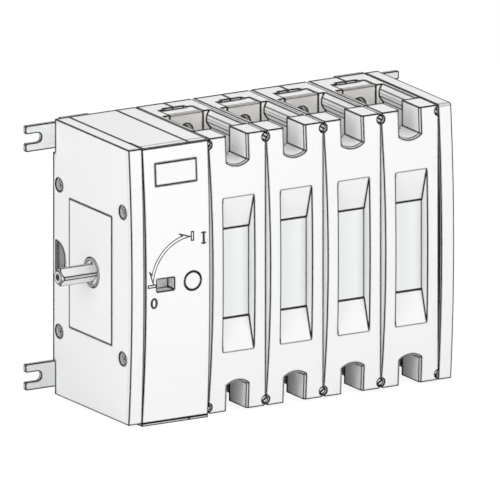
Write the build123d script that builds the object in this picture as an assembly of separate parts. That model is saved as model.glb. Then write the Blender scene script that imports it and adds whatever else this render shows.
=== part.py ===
"""Four-pole switch disconnector with a side operating shaft.

Pieces are laid out from the left face of the left cover (X, to the right),
from the top front edge of the casings (Y, to the back) and from the underside
of the poles (Z, up). save() moves them all to the row's frame, whose origin is
the middle of the bottom of the whole outline. All lengths are in millimetres.
"""
from build123d import *
import math
import os

os.makedirs("parts", exist_ok=True)

# Casings
HEIGHT = 277.0
MECH_DROP = 3.0
CASE_DEPTH = 142.0
BACK_STEP = 3.6
BACK_STEP_UNDER_FOOT = 4.5
LEFT_COVER_W = 15.0
MECH_LEFT_W = 53.0
MECH_RIGHT_W = 21.5
POLE_COUNT = 4
POLE_PITCH = 65.0
END_COVER_W = 14.5
END_COVER_FILLET = 2.5
WALL = 3.0
MECH_BULGE = 6.0
POLE_BULGE = 4.9
MECH_DRAFT = 0.15
POLE_DRAFT = 0.58
SEAM_CHAMFER = 1.9

# Clearances
FIT = 0.2
RUN = 0.08
GAP = 0.3

# How far a cutter reaches past the surface it opens
PAST = 1.0

# Operating shaft and its axis
AXIS_Y = 71.0
SHAFT_SQUARE = 15.0
SHAFT_CHAMFER = 2.2
SHAFT_REACH = 38.5
SHAFT_TIP_R = 6.6
SHAFT_TIP_TAPER = 3.4
SHAFT_HOLE_R = 2.5
SHAFT_HOLE_DEPTH = 20.0
COUPLING_SQUARE = 12.0
COUPLING_CHAMFER = 1.9
THROW_DEG = 90.0

# Left cover
COLLAR_R = 14.3
COLLAR_BORE_R = 12.3
COLLAR_RAISE = 1.5
COLLAR_FLANGE_R = 17.3
COLLAR_FLANGE_T = 2.0
BUSH_FLANGE_R = 15.3
SIDE_LABEL_D = 81.5
SIDE_LABEL_FRONT = 32.5
SIDE_LABEL_H = 129.5
LABEL_T = 0.8
LABEL_RECESS = 0.5
WIRE_OPENING_R = 17.0
WIRE_OPENING_FROM_BACK = 5.2

# Tie rods
TIE_Y_FRONT = 12.0
TIE_FROM_REAR = 7.5
TIE_Z_SPACING = 147.5
TIE_R = 2.5
TIE_HEAD_R = 5.0
TIE_HEAD_T = 3.0
TIE_RECESS_R = 6.5
TIE_RECESS_DEPTH = 6.2
TIE_BOSS_R = 9.0
TIE_NUT_AF = 8.0
TIE_NUT_T = 4.0
TIE_END_INSET = 1.0
TIE_SOCKET_AF = 5.0
TIE_SOCKET_DEPTH = 2.2
NUT_RECESS_DEPTH = 5.0

# Front panel of the mechanism
PANEL_T = 3.2
PANEL_RIM_DEPTH = 8.0
PANEL_TOP_EDGE = 1.0
SEAM_GROOVE_W = 1.4
SEAM_GROOVE_DEPTH = 0.7
SEAM_GROOVE_FRONT = 2.5
SEAM_GROOVE_LEN = 24.0
HUB_FROM_MECH_RIGHT = 20.6
PLUG_R = 9.2
PLUG_FLANGE_R = 12.5
PLUG_FLANGE_T = 1.6
WINDOW_W = 19.6
WINDOW_H = 12.2
WINDOW_FROM_HUB = 30.6
WINDOW_DEPTH = 14.0
WINDOW_FRAME = 2.0
FRONT_LABEL_W = 46.4
FRONT_LABEL_H = 22.4
FRONT_LABEL_X = 28.7
FRONT_LABEL_TOP = 16.7

# Drive inside the mechanism
GEAR_TEETH = 20
GEAR_MODULE = 1.5
GEAR_ROOT = 1.25 * GEAR_MODULE
TOOTH_ROOT_HALF = 0.31
TOOTH_PITCH_HALF = 0.19
TOOTH_TIP_HALF = 0.08
GEAR_FACE = 6.0
GEAR_HUB_R = 12.0
GEAR_HUB_LEN = 6.0
FRONT_HUB_R = 9.5
FRONT_HUB_SQUARE = 10.2
FRONT_HUB_SOCKET = 40.0
FRONT_HUB_SETBACK = 1.0
INDICATOR_T = 1.5
INDICATOR_RIM = 1.5
INDICATOR_HUB_R = 14.0
INDICATOR_MARGIN_DEG = 18.0
FRAME_T = 3.0
FRAME_X = 20.0
FRAME_FRONT_Y = 30.0
FRAME_OVER_AXIS = 48.0
FRAME_UNDER_PIVOT = 14.0
CRANK_HUB_R = 13.0
CRANK_HUB_LEN = 12.0
CRANK_T = 6.0
CRANK_RADIUS = 18.0
CRANK_BOSS_R = 7.0
CRANK_PIN_R = 4.0
PIVOT_DROP = 80.0
ROD_R = 4.0
ROD_EYE_R = 8.0
ROD_EYE_T = 9.0
ROD_COLLAR_R = 9.0
ROD_COLLAR_T = 3.0
ROD_COLLAR_FROM_EYE = 16.0
ROD_NECK_BITE = 2.0
ROD_TAIL = 18.0
SEAT_W = 22.0
SEAT_D = 20.0
SEAT_H = 14.0
SEAT_BORE_CLEARANCE = 1.4
SEAT_PIN_BITE = 5.0
SPRING_WIRE_R = 1.4
SPRING_MEAN_R = 7.2
SPRING_PITCH = 5.0

# Pole casings
FRONT_BLOCK_D = 34.0
POLE_WALL = 5.0
THROAT_W = 22.0
THROAT_STRAIGHT = 25.6
THROAT_DEPTH = 29.2
THROAT_BEVEL = 1.8
BEVEL_REACH = 6.0
CHAMBER_DEPTH = 40.0
RAIL_TOP_INSET = 6.1
RAIL_EDGES = ((9.3, 5.0), (9.8, 8.7), (9.6, 12.0))
RAIL_FOOT = 18.0
RECESS_SIDE = 15.0
RECESS_TOP = 61.4
RECESS_BOTTOM = 60.4
RECESS_FLOOR_TOP = 94.4
RECESS_FLOOR_BOTTOM = 92.2
RECESS_FLOOR_Y = 6.0
PANE_T = 2.5
PANE_LEDGE = 2.0
CONTACT_CAVITY_HALF_H = 58.0
CONTACT_CAVITY_FRONT = 16.5
BLADE_END_CLEARANCE = 5.0
CAVITY_WALL = 6.0
CLIP_POCKET_R = 4.1
CLIP_POCKET_DEPTH = 4.0
CLIP_FROM_TOP = 6.2
CLIP_R = 3.2
CLIP_STEM_R = 1.6
CLIP_HEAD_T = 2.2
CLIP_SLOT_W = 0.9
CLIP_SLOT_TURN = 35.0
CLIP_STEM_REACH = 12.0

# Terminals
TERMINAL_Y = 96.8
TERMINAL_W = 37.5
TERMINAL_T = 5.0
TERMINAL_BELOW_TOP = 0.2
TERMINAL_ROUNDING = 1.0
TERMINAL_END_FROM_AXIS = 48.0
TERMINAL_HOLE_R = 7.0
TERMINAL_HOLE_FROM_TOP = 18.0
NUT_AF = 19.0
NUT_T = 10.0
NUT_CORE_R = 5.1
BOLT_ROOM_R = 7.0
BOLT_ROOM = 16.5
SHELF_DROP = 0.8
SHELF_T = 3.0
SHELF_DEPTH = 16.6
SHROUD_SLOT_W = 24.0
SHROUD_SLOT_D = 4.5
SHROUD_SLOT_DEPTH = 3.0
KNIFE_T = 6.0
KNIFE_NEAR = 30.0
KNIFE_FAR = 56.0
KNIFE_PAST_AXIS = 11.0

# Rotor and moving contacts
ROTOR_R = 20.0
ROTOR_END_GAP = 3.0
JOURNAL_R = 11.0
COUPLING_LEN = 8.0
COUPLING_GAP = 1.0
BLADE_REACH = 48.0
BLADE_W = 18.0
BLADE_T = 4.0
ARC_PLATE_T = 1.6
ARC_PLATE_NEAR = 29.0
ARC_PLATE_FAR = 54.0
ARC_PLATE_WEB = 4.0
ARC_SLOT_W = 19.0
ARC_PLATE_ANGLES = (40.0, 50.0, 60.0, 70.0)

# Mounting feet
FOOT_T = 4.0
FOOT_H = 26.3
FOOT_REACH_LEFT = 33.0
FOOT_REACH_RIGHT = 24.5
FOOT_SLOT_W = 9.5
FOOT_SLOT_DEPTH = 18.0
FOOT_CORNER_R = 1.5
FOOT_TOP_CENTRE = 16.3
FOOT_BOTTOM_CENTRE = 20.7
FOOT_LEN = 71.5
FOOT_SHOULDER_AT = 39.3
FOOT_SCREW_PITCH = 10.5
FOOT_SCREW_EDGE = 6.5
FOOT_SCREW_R = 2.4
FOOT_SCREW_HEAD_R = 4.8
FOOT_SCREW_LEN = 16.0
FOOT_BOSS_R = 5.5
FOOT_HOLE_SPARE = 1.0

# Stations worked out from the sizes above
MID_Z = HEIGHT / 2
TERMINAL_BACK_Y = TERMINAL_Y + TERMINAL_T
SHELF_FRONT_Y = TERMINAL_BACK_Y + FIT / 2
SHELF_REAR_Y = SHELF_FRONT_Y + SHELF_DEPTH
TERMINAL_HOLE_Z = HEIGHT - TERMINAL_HOLE_FROM_TOP
BACK_Y = CASE_DEPTH + BACK_STEP
WIRE_OPENING_REAR = BACK_Y - WIRE_OPENING_FROM_BACK
MECH_X = LEFT_COVER_W
MECH_SPLIT_X = MECH_X + MECH_LEFT_W
POLES_X = MECH_SPLIT_X + MECH_RIGHT_W
END_X = POLES_X + POLE_COUNT * POLE_PITCH
BODY_W = END_X + END_COVER_W
POLE_MID = POLE_PITCH / 2
HUB_X = POLES_X - HUB_FROM_MECH_RIGHT
GEAR_R = GEAR_TEETH * GEAR_MODULE / 2
TIE_Y_REAR = CASE_DEPTH - TIE_FROM_REAR
TIE_POINTS = [(y, MID_Z + side * TIE_Z_SPACING / 2) for y in (TIE_Y_FRONT, TIE_Y_REAR) for side in (-1, 1)]
FOOT_CENTRES_Z = [HEIGHT - FOOT_TOP_CENTRE, FOOT_BOTTOM_CENTRE]
BACK_STEP_HIGH = FOOT_CENTRES_Z[0] - FOOT_H / 2 - BACK_STEP_UNDER_FOOT
BACK_STEP_LOW = FOOT_CENTRES_Z[1] + FOOT_H / 2 + FIT
FOOT_SHOULDER_RISE = FOOT_TOP_CENTRE - FOOT_H / 2
LEFT_FOOT_END = FOOT_LEN - FOOT_REACH_LEFT
RIGHT_FOOT_END = BODY_W + FOOT_REACH_RIGHT - FOOT_LEN
LEFT_FOOT_SCREWS_X = [LEFT_FOOT_END - FOOT_SCREW_EDGE - FOOT_SCREW_PITCH, LEFT_FOOT_END - FOOT_SCREW_EDGE]
RIGHT_FOOT_SCREWS_X = [RIGHT_FOOT_END + FOOT_SCREW_EDGE, RIGHT_FOOT_END + FOOT_SCREW_EDGE + FOOT_SCREW_PITCH]

# Crank pin at rest, 45 degrees below and behind the axis, and the link to the spring pivot
CRANK_PIN_Y = AXIS_Y + CRANK_RADIUS * math.sin(math.radians(THROW_DEG / 2))
CRANK_PIN_Z = MID_Z - CRANK_RADIUS * math.cos(math.radians(THROW_DEG / 2))
PIVOT_Z = MID_Z - PIVOT_DROP
LINK_LEN = math.hypot(CRANK_PIN_Y - AXIS_Y, CRANK_PIN_Z - PIVOT_Z)
LINK_TILT = math.degrees(math.atan2(CRANK_PIN_Y - AXIS_Y, CRANK_PIN_Z - PIVOT_Z))
BUSH_END = WALL + COLLAR_FLANGE_T + GAP + WALL
CRANK_X = FRAME_X - WALL
CRANK_PIN_X = CRANK_X + CRANK_HUB_LEN + CRANK_T
ROD_X = CRANK_PIN_X + GAP + ROD_EYE_T / 2

# The row's frame
X_LOW = -max(SHAFT_REACH, FOOT_REACH_LEFT)
X_HIGH = BODY_W + FOOT_REACH_RIGHT
Y_LOW = -max(MECH_BULGE, POLE_BULGE)
Y_HIGH = max(CASE_DEPTH + FOOT_T, BACK_Y)
TO_ROW = Pos(-(X_LOW + X_HIGH) / 2, -(Y_LOW + Y_HIGH) / 2, MECH_DROP)


def save(name, shape):
    """Write one node's solids in the row's frame."""
    export_step(TO_ROW * shape, f"parts/{name}.step")


def box(x0, x1, y0, y1, z0, z1):
    """Box between two corners."""
    return Pos((x0 + x1) / 2, (y0 + y1) / 2, (z0 + z1) / 2) * Box(x1 - x0, y1 - y0, z1 - z0)


def face(*points):
    """Flat face with straight edges through the points."""
    return make_face(Polyline(*points, close=True))


def prism_x(outline, x0, x1):
    """Face drawn in (y, z), carried along X."""
    return Pos(x0, 0, 0) * extrude(Plane.YZ * outline, x1 - x0)


def prism_y(outline, y0, y1):
    """Face drawn in (x, z), carried along Y."""
    return extrude(Plane(origin=(0, y0, 0), x_dir=(1, 0, 0), z_dir=(0, -1, 0)) * outline, y0 - y1)


def prism_z(outline, z0, z1):
    """Face drawn in (x, y), carried along Z."""
    return Pos(0, 0, z0) * extrude(outline, z1 - z0)


def rod_x(radius, x0, x1, y, z):
    """Round bar along X."""
    return Pos(x0, y, z) * Rot(0, 90, 0) * extrude(Circle(radius), x1 - x0)


def rod_y(radius, y0, y1, x, z):
    """Round bar along Y."""
    return Pos(x, y0, z) * Rot(-90, 0, 0) * extrude(Circle(radius), y1 - y0)


def hex_y(across_flats, y0, y1, x, z):
    """Hexagonal bar along Y."""
    outline = RegularPolygon(across_flats / 2, 6, major_radius=False)
    return Pos(x, y0, z) * Rot(-90, 0, 0) * extrude(outline, y1 - y0)


def hex_x(across_flats, x0, x1, y, z):
    """Hexagonal bar along X."""
    outline = RegularPolygon(across_flats / 2, 6, major_radius=False)
    return Pos(x0, y, z) * Rot(0, 90, 0) * extrude(outline, x1 - x0)


def diamond_x(side, x0, x1, chamfer_size=0.0):
    """Square bar along the main axis, standing on its corner."""
    outline = Rectangle(side, side)
    if chamfer_size:
        outline = chamfer(outline.vertices(), chamfer_size)
    return Pos(x0, AXIS_Y, MID_Z) * Rot(0, 90, 0) * Rot(0, 0, 45) * extrude(outline, x1 - x0)


def both_ends(shape):
    """The shape at the top, and its mirror image at the bottom."""
    return [shape, mirror(shape, about=Plane.XY.offset(MID_Z))]


def case_outline(bulge, inset=0.0, drop=0.0):
    """Side view of a casing: bowed front and a back that steps in for the feet."""
    low, high = inset - drop, HEIGHT - inset
    depth, back = CASE_DEPTH - inset, BACK_Y - inset
    step_low, step_high = BACK_STEP_LOW + inset, BACK_STEP_HIGH - inset
    rest = Polyline(
        (inset, high), (depth, high), (depth, step_high), (back, step_high),
        (back, step_low), (depth, step_low), (depth, low), (inset, low),
    )
    if bulge:
        front = ThreePointArc((inset, low), (inset - bulge, MID_Z), (inset, high))
    else:
        front = Line((inset, low), (inset, high))
    return make_face(rest + front)


def front_draft(x, side, slope):
    """Wedge that leans the bowed front's side away from a seam at x; side is +1 to the right."""
    reach = MECH_BULGE + PAST
    lean = side * slope * reach
    return prism_z(face((x, 0), (x + lean, -reach), (x - side, -reach), (x - side, 0)), -PAST, HEIGHT + PAST)


def tie_holes(x0, x1, radius=TIE_R + FIT):
    """Clearance holes for the tie rods."""
    return [rod_x(radius, x0, x1, y, z) for y, z in TIE_POINTS]


def foot_screw_holes(xs):
    """Holes that the foot screws bite into."""
    depth = FOOT_SCREW_LEN - FOOT_T + FOOT_HOLE_SPARE
    return [rod_y(FOOT_SCREW_R + FIT / 2, CASE_DEPTH - depth, CASE_DEPTH + PAST, x, z)
            for x in xs for z in FOOT_CENTRES_Z]


def left_cover():
    """Deep lid over the mechanism's left side."""
    lid = prism_x(case_outline(MECH_BULGE), 0, LEFT_COVER_W)
    lid -= front_draft(LEFT_COVER_W, -1, MECH_DRAFT)
    lid -= prism_x(case_outline(MECH_BULGE, WALL), WALL, LEFT_COVER_W + PAST)
    inside = prism_x(case_outline(MECH_BULGE), 0, LEFT_COVER_W)
    bosses = [rod_x(TIE_BOSS_R, WALL, LEFT_COVER_W, y, z) & inside for y, z in TIE_POINTS]
    lid += bosses
    lid -= tie_holes(-PAST, LEFT_COVER_W + PAST)
    lid -= [rod_x(TIE_RECESS_R, -PAST, TIE_RECESS_DEPTH, y, z) for y, z in TIE_POINTS]
    lid -= rod_x(COLLAR_R, -PAST, WALL + PAST, AXIS_Y, MID_Z)
    lid -= side_label_box(-PAST, LABEL_RECESS, FIT)
    opening = rod_x(WIRE_OPENING_R, -PAST, WALL + PAST, WIRE_OPENING_REAR, MID_Z)
    opening &= box(-PAST, WALL + PAST, 0, WIRE_OPENING_REAR, 0, HEIGHT)
    return lid - opening


def side_label_box(x0, x1, grow=0.0):
    """Space of the blank plate on the left cover."""
    return box(x0, x1, SIDE_LABEL_FRONT - grow, SIDE_LABEL_FRONT + SIDE_LABEL_D + grow,
               MID_Z - SIDE_LABEL_H / 2 - grow, MID_Z + SIDE_LABEL_H / 2 + grow)


def side_label_plate():
    """Blank plate round the collar."""
    plate = side_label_box(LABEL_RECESS - LABEL_T, LABEL_RECESS)
    return plate - rod_x(COLLAR_R + FIT, -PAST, WALL, AXIS_Y, MID_Z)


def shaft_collar():
    """Fixed ring that the shaft's bush turns in."""
    ring = rod_x(COLLAR_R - FIT / 2, -COLLAR_RAISE, WALL, AXIS_Y, MID_Z)
    ring += rod_x(COLLAR_FLANGE_R, WALL, WALL + COLLAR_FLANGE_T, AXIS_Y, MID_Z)
    return ring - rod_x(COLLAR_BORE_R, -COLLAR_RAISE - PAST, WALL + COLLAR_FLANGE_T + PAST, AXIS_Y, MID_Z)


def shaft_bush():
    """Round bush that turns with the square shaft."""
    bush = rod_x(COLLAR_BORE_R - RUN, 0, BUSH_END - WALL, AXIS_Y, MID_Z)
    bush += rod_x(BUSH_FLANGE_R, BUSH_END - WALL, BUSH_END, AXIS_Y, MID_Z)
    return bush - diamond_x(SHAFT_SQUARE + FIT, -PAST, LEFT_COVER_W)


def operating_shaft():
    """Square shaft on its corner, thinner behind its bush, with a turned tip and a screw hole in it."""
    shaft = diamond_x(SHAFT_SQUARE, -SHAFT_REACH, BUSH_END, SHAFT_CHAMFER)
    corner_r = SHAFT_SQUARE / math.sqrt(2)
    tip = Rot(0, 90, 0) * Cone(SHAFT_TIP_R, corner_r, SHAFT_TIP_TAPER)
    turned = Pos(SHAFT_TIP_TAPER / 2 - SHAFT_REACH, AXIS_Y, MID_Z) * tip
    turned += rod_x(corner_r, SHAFT_TIP_TAPER - SHAFT_REACH, BUSH_END, AXIS_Y, MID_Z)
    shaft &= turned
    shaft += diamond_x(COUPLING_SQUARE, BUSH_END, POLES_X + COUPLING_LEN, COUPLING_CHAMFER)
    return shaft - rod_x(SHAFT_HOLE_R, -SHAFT_REACH - PAST, SHAFT_HOLE_DEPTH - SHAFT_REACH, AXIS_Y, MID_Z)


def panel_space(x0, x1):
    """Opening that the front panel closes, with its top edge just under the housing's."""
    return box(x0, x1, -PAST, PANEL_RIM_DEPTH + FIT, 0, HEIGHT - PANEL_TOP_EDGE)


def mechanism_shell(x0, x1):
    """Top, back and thick bottom walls of the mechanism's housing, open at the front for the panel."""
    shell = prism_x(case_outline(0, drop=MECH_DROP), x0, x1)
    shell -= prism_x(case_outline(0, WALL), x0 - PAST, x1 + PAST)
    return shell - panel_space(x0 - PAST, x1 + PAST)


def mechanism_shell_left():
    """Wide part of the housing, with bosses for the left feet's screws and a groove along the cover's seam."""
    shell = mechanism_shell(MECH_X, MECH_SPLIT_X)
    reach = FOOT_SCREW_LEN - FOOT_T + 2 * FOOT_HOLE_SPARE
    bosses = [rod_y(FOOT_BOSS_R, CASE_DEPTH - reach, CASE_DEPTH, x, z)
              for x in LEFT_FOOT_SCREWS_X for z in FOOT_CENTRES_Z]
    shell += bosses
    shell -= box(MECH_X - PAST, MECH_X + SEAM_GROOVE_W, SEAM_GROOVE_FRONT, SEAM_GROOVE_FRONT + SEAM_GROOVE_LEN,
                 HEIGHT - SEAM_GROOVE_DEPTH, HEIGHT + PAST)
    return shell - foot_screw_holes(LEFT_FOOT_SCREWS_X)


def mechanism_shell_right():
    """Narrow part of the housing, with the wall towards the first pole."""
    shell = mechanism_shell(MECH_SPLIT_X, POLES_X)
    wall = prism_x(case_outline(0, drop=MECH_DROP), POLES_X - WALL, POLES_X)
    wall -= panel_space(POLES_X - WALL - PAST, POLES_X + PAST)
    shell += wall
    shell -= rod_x(JOURNAL_R, POLES_X - WALL - PAST, POLES_X + PAST, AXIS_Y, MID_Z)
    return shell - tie_holes(POLES_X - WALL - PAST, POLES_X + PAST)


def indicator_window_box(grow, y0, y1):
    """Space of the position window, seen from the front."""
    x = HUB_X - WINDOW_FROM_HUB
    return box(x - WINDOW_W / 2 - grow, x + WINDOW_W / 2 + grow, y0, y1,
               MID_Z - WINDOW_H / 2 - grow, MID_Z + WINDOW_H / 2 + grow)


def front_label_box(y0, y1, grow=0.0):
    """Space of the blank plate at the top of the panel."""
    top = HEIGHT - FRONT_LABEL_TOP
    return box(FRONT_LABEL_X - grow, FRONT_LABEL_X + FRONT_LABEL_W + grow, y0, y1,
               top - FRONT_LABEL_H - grow, top + grow)


def panel_skin(depth_in, depth_out):
    """Layer of the panel between two depths under its bowed surface."""
    outer = prism_x(case_outline(MECH_BULGE), MECH_X, POLES_X)
    outer = Pos(0, depth_in, 0) * outer
    return outer - Pos(0, depth_out, 0) * prism_x(case_outline(MECH_BULGE), MECH_X - PAST, POLES_X + PAST)


def front_panel():
    """Bowed tray that closes the mechanism's front."""
    x0, x1 = MECH_X, POLES_X
    outer = prism_x(case_outline(MECH_BULGE), x0, x1)
    panel = outer & box(x0, x1, -MECH_BULGE - PAST, PANEL_RIM_DEPTH, 0, HEIGHT - PANEL_TOP_EDGE)
    panel -= front_draft(x0, 1, MECH_DRAFT)
    panel -= front_draft(x1, -1, MECH_DRAFT)
    inner = Pos(0, PANEL_T, 0) * outer
    panel -= inner & box(x0 + WALL, x1 - WALL, -MECH_BULGE, PANEL_RIM_DEPTH + PAST,
                         WALL, HEIGHT - PANEL_TOP_EDGE - WALL)
    window_back = WINDOW_DEPTH - MECH_BULGE
    panel += indicator_window_box(WINDOW_FRAME, PANEL_T - MECH_BULGE - PAST, window_back)
    panel -= indicator_window_box(0, -MECH_BULGE - PAST, window_back + PAST)
    panel -= rod_y(PLUG_R + FIT / 2, -MECH_BULGE - PAST, PANEL_RIM_DEPTH, HUB_X, MID_Z)
    recess = front_label_box(-MECH_BULGE - PAST, PANEL_RIM_DEPTH, FIT) & panel_skin(-PAST, LABEL_RECESS)
    return panel - recess


def front_label_plate():
    """Blank plate that follows the panel's bow."""
    layer = panel_skin(LABEL_RECESS - LABEL_T, LABEL_RECESS)
    return front_label_box(-MECH_BULGE - PAST, PANEL_RIM_DEPTH) & layer


def shaft_hole_plug():
    """Cap in the hole for a front handle."""
    back = PANEL_T - MECH_BULGE
    plug = rod_y(PLUG_R, -MECH_BULGE, back, HUB_X, MID_Z)
    return plug + rod_y(PLUG_FLANGE_R, back + FIT, back + FIT + PLUG_FLANGE_T, HUB_X, MID_Z) \
        + rod_y(PLUG_R, back, back + FIT, HUB_X, MID_Z)


def mechanism_frame():
    """Folded steel plate that carries the crank, the front hub and the spring's pivot."""
    low = PIVOT_Z - FRAME_UNDER_PIVOT
    high = MID_Z + FRAME_OVER_AXIS
    back = BACK_Y - WALL
    frame = box(FRAME_X, FRAME_X + FRAME_T, FRAME_FRONT_Y, back, low, high)
    frame += box(FRAME_X, POLES_X - WALL, FRAME_FRONT_Y, FRAME_FRONT_Y + FRAME_T, low, high)
    frame -= rod_x(CRANK_HUB_R + RUN, FRAME_X - PAST, FRAME_X + FRAME_T + PAST, AXIS_Y, MID_Z)
    frame -= rod_y(FRONT_HUB_R + RUN, FRAME_FRONT_Y - PAST, FRAME_FRONT_Y + FRAME_T + PAST, HUB_X, MID_Z)
    frame -= tie_holes(FRAME_X - PAST, FRAME_X + FRAME_T + PAST)
    pin_end = seat_x0() + SEAT_PIN_BITE - GAP
    return frame + rod_x(CRANK_PIN_R, FRAME_X + FRAME_T, pin_end, AXIS_Y, PIVOT_Z)


def drive_crank():
    """Crank on the square shaft, with the pin that the spring pushes on."""
    crank = rod_x(CRANK_HUB_R, CRANK_X, CRANK_PIN_X, AXIS_Y, MID_Z)
    arm = CRANK_X + CRANK_HUB_LEN
    crank += rod_x(CRANK_BOSS_R, arm, CRANK_PIN_X, CRANK_PIN_Y, CRANK_PIN_Z)
    middle = Pos((arm + CRANK_PIN_X) / 2, AXIS_Y, MID_Z) * Rot(-THROW_DEG / 2, 0, 0)
    crank += middle * Pos(0, CRANK_RADIUS / 2, 0) * Box(CRANK_T, CRANK_RADIUS, 2 * CRANK_BOSS_R)
    crank += rod_x(CRANK_PIN_R, CRANK_PIN_X, CRANK_PIN_X + ROD_EYE_T + 2 * GAP, CRANK_PIN_Y, CRANK_PIN_Z)
    return crank - diamond_x(COUPLING_SQUARE + FIT, CRANK_X - PAST, CRANK_PIN_X + PAST)


def link_frame(distance):
    """Place on the spring link, this far from the crank pin, with local Z towards the pivot."""
    tilt = Rot(-LINK_TILT, 0, 0)
    return Pos(ROD_X, CRANK_PIN_Y, CRANK_PIN_Z) * tilt * Pos(0, 0, -distance) * Rot(180, 0, 0)


def spring_rod():
    """Guide rod with an eye on the crank pin and a collar for the spring."""
    eye = rod_x(ROD_EYE_R, ROD_X - ROD_EYE_T / 2, ROD_X + ROD_EYE_T / 2, CRANK_PIN_Y, CRANK_PIN_Z)
    rod = eye + link_frame(0) * extrude(Circle(ROD_R), LINK_LEN + ROD_TAIL)
    rod += link_frame(ROD_COLLAR_FROM_EYE) * extrude(Circle(ROD_COLLAR_R), ROD_COLLAR_T)
    neck = ROD_EYE_R - ROD_NECK_BITE
    rod += link_frame(neck) * extrude(Circle(ROD_EYE_T / 2), ROD_COLLAR_FROM_EYE - neck)
    bore = rod_x(CRANK_PIN_R + RUN, ROD_X - ROD_EYE_T, ROD_X + ROD_EYE_T, CRANK_PIN_Y, CRANK_PIN_Z)
    return rod - bore


def seat_x0():
    """Left face of the swivelling seat."""
    return ROD_X - SEAT_W / 2


def spring_seat():
    """Swivelling block that the guide rod slides through."""
    seat = link_frame(LINK_LEN) * Box(SEAT_W, SEAT_D, SEAT_H)
    seat -= link_frame(LINK_LEN - SEAT_H) * extrude(Circle(ROD_R + SEAT_BORE_CLEARANCE), 2 * SEAT_H)
    return seat - rod_x(CRANK_PIN_R + RUN, seat_x0() - PAST, seat_x0() + SEAT_PIN_BITE, AXIS_Y, PIVOT_Z)


def snap_spring():
    """Compression spring on the guide rod, between its collar and the seat."""
    start = ROD_COLLAR_FROM_EYE + ROD_COLLAR_T + SPRING_WIRE_R
    end = LINK_LEN - SEAT_H / 2 - GAP - SPRING_WIRE_R
    coil = Helix(SPRING_PITCH, end - start, SPRING_MEAN_R)
    section = Plane(origin=coil @ 0, z_dir=coil % 0) * Circle(SPRING_WIRE_R)
    return link_frame(start) * sweep(section, path=coil, is_frenet=True)


def bevel_section(scale, phase):
    """Tooth outline across a bevel gear, at this share of its large end."""
    tip = GEAR_R * math.tan(math.radians(45) + GEAR_MODULE / (GEAR_R * math.sqrt(2)))
    root = GEAR_R * math.tan(math.radians(45) - GEAR_ROOT / (GEAR_R * math.sqrt(2)))
    pitch = 360 / GEAR_TEETH
    rising = ((root, TOOTH_ROOT_HALF), (GEAR_R, TOOTH_PITCH_HALF), (tip, TOOTH_TIP_HALF))
    flank = [(radius, -half) for radius, half in rising] + list(reversed(rising))
    points = []
    for tooth in range(GEAR_TEETH):
        for radius, share in flank:
            angle = math.radians((tooth + phase + share) * pitch)
            points.append((scale * radius * math.cos(angle), scale * radius * math.sin(angle)))
    return Pos(0, 0, -scale * GEAR_R) * face(*points)


def bevel_teeth(phase):
    """Toothed cone of a 45-degree bevel gear, its apex at the origin and its axis along Z."""
    cone = GEAR_R * math.sqrt(2)
    small = (cone - GEAR_FACE) / cone
    return loft([bevel_section(1, phase), bevel_section(small, phase)], ruled=True)


def shaft_bevel_gear():
    """Bevel gear on the square shaft."""
    gear = Plane(origin=(HUB_X, AXIS_Y, MID_Z), x_dir=(0, -1, 0), z_dir=(1, 0, 0)) * bevel_teeth(0)
    back = HUB_X - GEAR_R
    gear += rod_x(GEAR_HUB_R, back - GEAR_HUB_LEN, back, AXIS_Y, MID_Z)
    return gear - diamond_x(COUPLING_SQUARE + FIT, back - GEAR_HUB_LEN - PAST, HUB_X)


def front_drive_hub():
    """Hub for a front handle, with the bevel gear that meshes with the shaft's."""
    teeth = Plane(origin=(HUB_X, AXIS_Y, MID_Z), x_dir=(-1, 0, 0), z_dir=(0, 1, 0)) * bevel_teeth(0.5)
    back = AXIS_Y - GEAR_R
    front = PANEL_T - MECH_BULGE + PLUG_FLANGE_T + FIT + FRONT_HUB_SETBACK
    hub = teeth + rod_y(FRONT_HUB_R, front, back, HUB_X, MID_Z)
    hub += rod_y(GEAR_HUB_R, back - GEAR_HUB_LEN, back, HUB_X, MID_Z)
    half = FRONT_HUB_SQUARE / 2
    return hub - box(HUB_X - half, HUB_X + half, front - PAST, front + FRONT_HUB_SOCKET,
                     MID_Z - half, MID_Z + half)


def position_indicator():
    """Quarter of a disc, seen through the window, that turns with the front hub."""
    reach = WINDOW_FROM_HUB + WINDOW_W / 2 + INDICATOR_RIM
    front = WINDOW_DEPTH - MECH_BULGE + GAP
    low = 180 - INDICATOR_MARGIN_DEG
    sweep_deg = THROW_DEG + 2 * INDICATOR_MARGIN_DEG
    spots = [(reach * math.cos(math.radians(low + share * sweep_deg)),
              reach * math.sin(math.radians(low + share * sweep_deg))) for share in (0, 0.5, 1)]
    rim = ThreePointArc(*spots) + Polyline(spots[2], (0, 0), spots[0])
    disc = Pos(HUB_X, 0, MID_Z) * prism_y(make_face(rim), front, front + INDICATOR_T)
    disc += rod_y(INDICATOR_HUB_R, front, front + INDICATOR_T, HUB_X, MID_Z)
    return disc - rod_y(FRONT_HUB_R, front - PAST, front + INDICATOR_T + PAST, HUB_X, MID_Z)


def bowed_y(z):
    """Depth of a pole's bowed front at a height."""
    return -POLE_BULGE * (1 - (z / MID_Z - 1) ** 2)


def throat_outline(grow):
    """Front view of the notch at a pole's top: straight sides and a shallow round bottom."""
    x0 = POLE_MID - THROAT_W / 2 - grow
    x1 = POLE_MID + THROAT_W / 2 + grow
    side_z = HEIGHT - THROAT_STRAIGHT - grow / 2
    low_z = HEIGHT - THROAT_DEPTH - grow
    top = HEIGHT + PAST
    bottom = ThreePointArc((x0, side_z), (POLE_MID, low_z), (x1, side_z))
    sides = Polyline((x1, side_z), (x1, top), (x0, top), (x0, side_z))
    return make_face(bottom + sides)


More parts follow.
